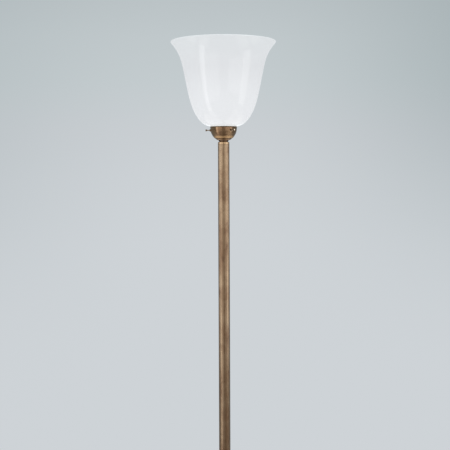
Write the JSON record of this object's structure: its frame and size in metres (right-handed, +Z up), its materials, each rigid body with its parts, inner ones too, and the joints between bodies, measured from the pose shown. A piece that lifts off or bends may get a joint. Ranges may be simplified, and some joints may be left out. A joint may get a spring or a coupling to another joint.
{
  "type": "torchiere floor lamp",
  "caption": "Uplighter floor lamp: an opal glass bell held by thumb screws in a brass gallery, on a tubular brass pole with a round weighted foot.",
  "frame": {"origin": "centre of the foot's underside, on the floor", "axes": "+Z up along the pole; -Y is the front, +Y the back, where the mains lead enters the foot; +X to the viewer's right"},
  "size_m": [0.285, 0.2866, 1.8002],
  "materials": {
    "opal_glass": "gloss",
    "antique_brass": "satin",
    "plain_brass": "satin",
    "zinc_steel": "satin",
    "cast_iron": "matte",
    "felt": "matte",
    "black_plastic": "satin",
    "white_plastic": "satin",
    "nylon": "satin",
    "brown_insulation": "satin",
    "blue_insulation": "satin",
    "earth_insulation": "satin",
    "porcelain": "gloss",
    "clear_glass": "gloss",
    "black_glass": "gloss",
    "plated_cap": "satin",
    "solder": "satin",
    "phosphor": "matte"
  },
  "bodies": {
    "lamp_stand": {"cable_bush": "black_plastic", "earth_lead": "earth_insulation", "earth_screw": "zinc_steel", "earth_tag": "zinc_steel", "foot_collar": "antique_brass", "foot_cover": "antique_brass", "foot_lock_washer": "zinc_steel", "foot_nut": "zinc_steel", "foot_pad": "felt", "foot_stud": "zinc_steel", "foot_washer": "zinc_steel", "foot_weight": "cast_iron", "gallery_bushes": "antique_brass", "gallery_cup": "antique_brass", "gallery_lock_washer": "zinc_steel", "gallery_nipple": "plain_brass", "gallery_nut": "plain_brass", "gallery_ring": "antique_brass", "glass_shade": "opal_glass", "holder_cap": "black_plastic", "holder_contact": "plain_brass", "holder_insert": "porcelain", "holder_shell": "plain_brass", "holder_sleeve": "black_plastic", "holder_terminals": "plain_brass", "joint_lower_plug": "plain_brass", "joint_upper_plug": "plain_brass", "live_wire": "brown_insulation", "lower_pole": "antique_brass", "neutral_wire": "blue_insulation", "pole_cap": "antique_brass", "pole_foot_plug": "plain_brass", "terminal_block": "white_plastic", "terminal_clamps": "plain_brass", "terminal_screws": "zinc_steel", "upper_pole": "antique_brass"},
    "screw_tip_1": {"screw_tip_1": "nylon"},
    "thumb_screw_1": {"thumb_screw_1": "antique_brass"},
    "screw_tip_2": {"screw_tip_2": "nylon"},
    "thumb_screw_2": {"thumb_screw_2": "antique_brass"},
    "screw_tip_3": {"screw_tip_3": "nylon"},
    "thumb_screw_3": {"thumb_screw_3": "antique_brass"},
    "bulb_lift": {"bulb_contact": "solder"},
    "bulb": {"bulb_cap": "plated_cap", "bulb_insulator": "black_glass", "bulb_glass": "clear_glass", "bulb_stem": "clear_glass", "bulb_filaments": "phosphor", "bulb_supports": "zinc_steel"}
  },
  "joints": [
    {"name": "screw_1_travel", "type": "slide", "parent": "lamp_stand", "child": "screw_tip_1", "axis": [0.6018, -0.7986, 0], "range_m": [0, 0.0045]},
    {"name": "screw_1_turn", "type": "hinge", "parent": "screw_tip_1", "child": "thumb_screw_1", "pos_m": [0.01712, -0.02272, 1.58411], "axis": [0.6018, -0.7986, 0], "range_deg": [0, 3241]},
    {"name": "screw_2_travel", "type": "slide", "parent": "lamp_stand", "child": "screw_tip_2", "axis": [0.3907, 0.9205, 0], "range_m": [0, 0.0045]},
    {"name": "screw_2_turn", "type": "hinge", "parent": "screw_tip_2", "child": "thumb_screw_2", "pos_m": [0.01112, 0.02619, 1.58411], "axis": [0.3907, 0.9205, 0], "range_deg": [0, 3241]},
    {"name": "screw_3_travel", "type": "slide", "parent": "lamp_stand", "child": "screw_tip_3", "axis": [-0.9925, -0.1219, 0], "range_m": [0, 0.0045]},
    {"name": "screw_3_turn", "type": "hinge", "parent": "screw_tip_3", "child": "thumb_screw_3", "pos_m": [-0.02824, -0.00347, 1.58411], "axis": [-0.9925, -0.1219, 0], "range_deg": [0, 3241]},
    {"name": "bulb_lift", "type": "slide", "parent": "lamp_stand", "child": "bulb_lift", "axis": [0, 0, 1], "range_m": [0, 0.01815]},
    {"name": "bulb_turn", "type": "hinge", "parent": "bulb_lift", "child": "bulb", "pos_m": [0, 0, 1.5945], "axis": [0, 0, 1], "range_deg": [0, 1801]}
  ],
  "couplings": [
    {"joint": "screw_1_turn", "follows": "screw_1_travel", "rad_per_m": 12566},
    {"joint": "screw_2_turn", "follows": "screw_2_travel", "rad_per_m": 12566},
    {"joint": "screw_3_turn", "follows": "screw_3_travel", "rad_per_m": 12566},
    {"joint": "bulb_turn", "follows": "bulb_lift", "rad_per_m": 1730.9}
  ]
}
